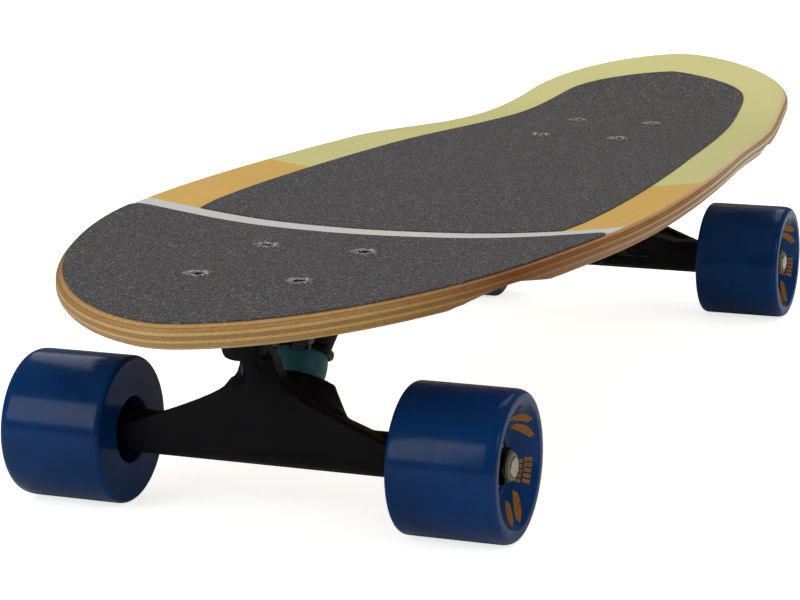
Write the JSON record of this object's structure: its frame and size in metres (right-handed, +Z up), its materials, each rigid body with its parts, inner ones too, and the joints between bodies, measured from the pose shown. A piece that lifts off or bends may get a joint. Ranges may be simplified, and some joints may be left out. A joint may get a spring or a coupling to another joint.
{
  "type": "cruiser skateboard",
  "caption": "Short wide cruiser skateboard: concave wooden deck with kicked tail, grit sheets, two steering trucks, soft wheels on ball bearings.",
  "frame": {"origin": "on the floor under the middle of the board, the centre of the bottom of its box", "axes": "+Z up; +Y along the board from the nose to the kicked tail; +X across it, towards the side that faces the camera in the picture"},
  "size_m": [0.222, 0.6978, 0.1186],
  "materials": {
    "maple": "satin lacquer over painted top",
    "grit": "coarse matt grit paper",
    "riser_rubber": "matt",
    "truck_black": "satin black coat over cast aluminium",
    "pivot_plastic": "matt",
    "bushing_urethane": "soft gloss",
    "steel": "bright",
    "dark_steel": "blackened, slightly glossy",
    "wheel_urethane": "gloss, slightly translucent"
  },
  "bodies": {
    "board": {"deck": "maple", "grip_nose": "grit", "grip_main": "grit", "front_riser": "riser_rubber", "front_baseplate": "truck_black", "front_pivot_cup": "pivot_plastic", "front_kingpin": "steel", "front_kingpin_nut": "dark_steel", "front_upper_bushing": "bushing_urethane", "front_lower_bushing": "bushing_urethane", "front_upper_cup_washer": "dark_steel", "front_lower_cup_washer": "dark_steel", "front_deck_bolt_1": "dark_steel", "front_deck_bolt_2": "dark_steel", "front_deck_bolt_3": "dark_steel", "front_deck_bolt_4": "dark_steel", "rear_riser": "riser_rubber", "rear_baseplate": "truck_black", "rear_pivot_cup": "pivot_plastic", "rear_kingpin": "steel", "rear_kingpin_nut": "dark_steel", "rear_upper_bushing": "bushing_urethane", "rear_lower_bushing": "bushing_urethane", "rear_upper_cup_washer": "dark_steel", "rear_lower_cup_washer": "dark_steel", "rear_deck_bolt_1": "dark_steel", "rear_deck_bolt_2": "dark_steel", "rear_deck_bolt_3": "dark_steel", "rear_deck_bolt_4": "dark_steel"},
    "front_hanger_set": {"front_hanger": "truck_black", "front_axle": "steel", "front_left_bearing_spacer": "steel", "front_left_speed_washer": "steel", "front_left_axle_nut": "dark_steel", "front_right_bearing_spacer": "steel", "front_right_speed_washer": "steel", "front_right_axle_nut": "dark_steel"},
    "rear_hanger_set": {"rear_hanger": "truck_black", "rear_axle": "steel", "rear_left_bearing_spacer": "steel", "rear_left_speed_washer": "steel", "rear_left_axle_nut": "dark_steel", "rear_right_bearing_spacer": "steel", "rear_right_speed_washer": "steel", "rear_right_axle_nut": "dark_steel"},
    "front_left_wheel_set": {"front_left_wheel": "wheel_urethane", "front_left_inner_bearing": "steel", "front_left_outer_bearing": "steel"},
    "front_right_wheel_set": {"front_right_wheel": "wheel_urethane", "front_right_inner_bearing": "steel", "front_right_outer_bearing": "steel"},
    "rear_left_wheel_set": {"rear_left_wheel": "wheel_urethane", "rear_left_inner_bearing": "steel", "rear_left_outer_bearing": "steel"},
    "rear_right_wheel_set": {"rear_right_wheel": "wheel_urethane", "rear_right_inner_bearing": "steel", "rear_right_outer_bearing": "steel"}
  },
  "joints": [
    {"name": "front_steer", "type": "hinge", "parent": "board", "child": "front_hanger_set", "pos_m": [0, -0.22725, 0.044], "axis": [0, -0.8704, 0.4924], "range_deg": [-10, 10], "stiffness_Nm_per_rad": 20, "deforming": ["front_upper_bushing", "front_lower_bushing"]},
    {"name": "rear_steer", "type": "hinge", "parent": "board", "child": "rear_hanger_set", "pos_m": [0, 0.15975, 0.044], "axis": [0, 0.8704, 0.4924], "range_deg": [-10, 10], "stiffness_Nm_per_rad": 20, "deforming": ["rear_upper_bushing", "rear_lower_bushing"]},
    {"name": "front_left_wheel_spin", "type": "hinge", "parent": "front_hanger_set", "child": "front_left_wheel_set", "pos_m": [-0.0795, -0.25275, 0.029], "axis": [1, 0, 0], "continuous": true},
    {"name": "front_right_wheel_spin", "type": "hinge", "parent": "front_hanger_set", "child": "front_right_wheel_set", "pos_m": [0.0795, -0.25275, 0.029], "axis": [1, 0, 0], "continuous": true},
    {"name": "rear_left_wheel_spin", "type": "hinge", "parent": "rear_hanger_set", "child": "rear_left_wheel_set", "pos_m": [-0.0795, 0.18525, 0.029], "axis": [1, 0, 0], "continuous": true},
    {"name": "rear_right_wheel_spin", "type": "hinge", "parent": "rear_hanger_set", "child": "rear_right_wheel_set", "pos_m": [0.0795, 0.18525, 0.029], "axis": [1, 0, 0], "continuous": true}
  ]
}
